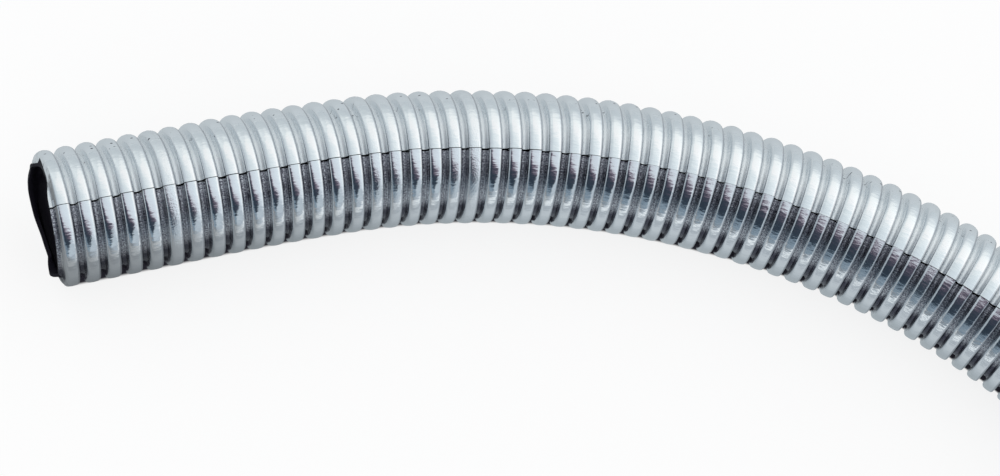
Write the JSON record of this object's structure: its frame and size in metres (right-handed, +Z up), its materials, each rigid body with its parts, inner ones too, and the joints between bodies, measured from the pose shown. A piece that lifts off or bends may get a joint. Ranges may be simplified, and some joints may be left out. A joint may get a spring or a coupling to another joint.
{
  "type": "chrome wire loom",
  "caption": "Split corrugated loom tube with a chrome face, a dark round bore for wires and one slit along its whole length, lying in a gentle bend.",
  "frame": {"origin": "under the middle of the bounding box, on the floor plane", "axes": "+X along the tube as it leaves the front end, +Z up, the tube bends toward -Y, where its rear end points"},
  "size_m": [0.2162, 0.1798, 0.0248],
  "materials": {
    "chrome_face": "vacuum-metallised mirror face on black extruded plastic"
  },
  "bodies": {
    "root": {"loom_tube": "chrome_face"}
  },
  "joints": []
}
